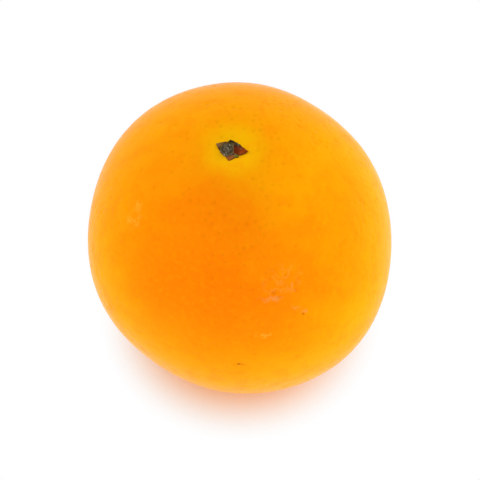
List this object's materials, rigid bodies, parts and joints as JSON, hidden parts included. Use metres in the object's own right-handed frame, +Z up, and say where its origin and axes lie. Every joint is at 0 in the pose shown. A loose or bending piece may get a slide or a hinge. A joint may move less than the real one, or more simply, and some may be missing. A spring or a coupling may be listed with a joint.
{
  "type": "orange",
  "caption": "Whole ripe sweet orange with a dimpled glossy peel and a dried star-shaped calyx at the stem end, resting on the small flat spot at its blossom end.",
  "frame": {"origin": "middle of the small flat spot at the blossom end, on the surface that the fruit rests on", "axes": "+Z up through the fruit to its stem end; the front, from which it is mostly seen, is -Y; +X to the right from there"},
  "size_m": [0.0734, 0.075, 0.0748],
  "materials": {
    "peel": "satin",
    "calyx": "matte"
  },
  "bodies": {
    "root": {"fruit": "peel", "calyx_button": "calyx"}
  },
  "joints": []
}
